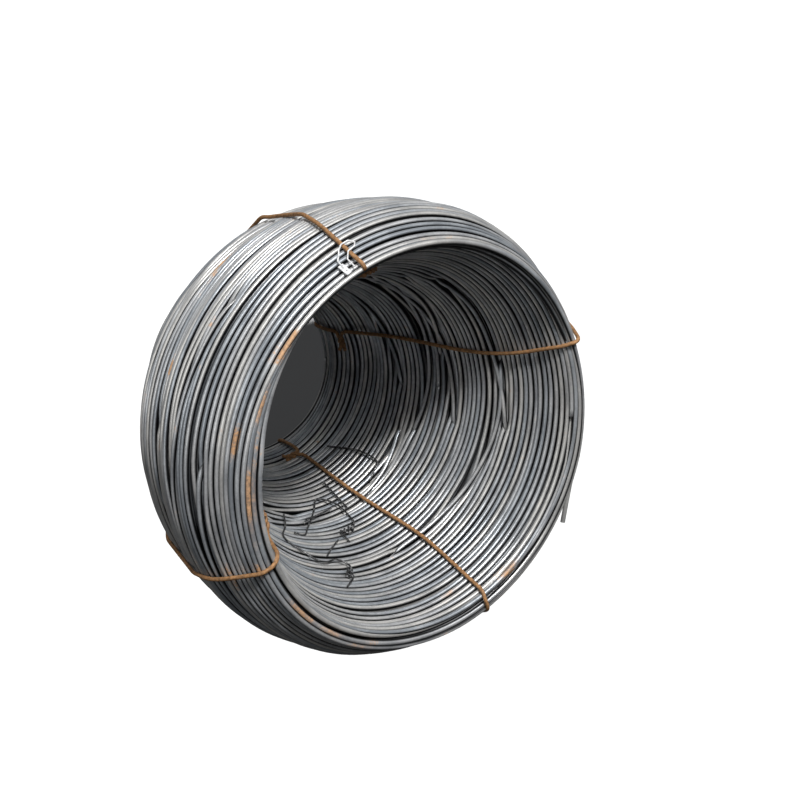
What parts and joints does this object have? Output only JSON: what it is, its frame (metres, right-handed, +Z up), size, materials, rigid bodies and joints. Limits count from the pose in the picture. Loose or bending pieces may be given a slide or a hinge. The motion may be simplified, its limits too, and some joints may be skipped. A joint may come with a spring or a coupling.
{
  "type": "coil of wire rod",
  "caption": "Coil of hot-rolled steel wire rod lying on its side, wound round an open eye and held by twisted wire ties, with a small crimped tag.",
  "frame": {"origin": "on the floor, under the middle of the coil", "axes": "+Z up, Y along the coil's axis with the wide mouth facing -Y, +X to the right of someone who looks into the mouth"},
  "size_m": [0.9099, 0.6765, 0.91],
  "materials": {
    "rod_steel": "mill scale with streaks of rust",
    "tie_steel": "rusted wire",
    "tag_metal": "bright, lightly scuffed",
    "binding_wire": "black annealed"
  },
  "bodies": {
    "root": {"wire_rod_coil": "rod_steel", "tie_right": "tie_steel", "tie_top": "tie_steel", "tie_left": "tie_steel", "tie_bottom": "tie_steel", "tag": "tag_metal", "tag_wire": "tag_metal", "loose_wire_long": "binding_wire", "loose_wire_bent": "binding_wire", "loose_wire_crossing": "binding_wire", "loose_wire_hooked": "binding_wire", "loose_wire_short": "binding_wire", "loose_wire_stub": "binding_wire"}
  },
  "joints": []
}
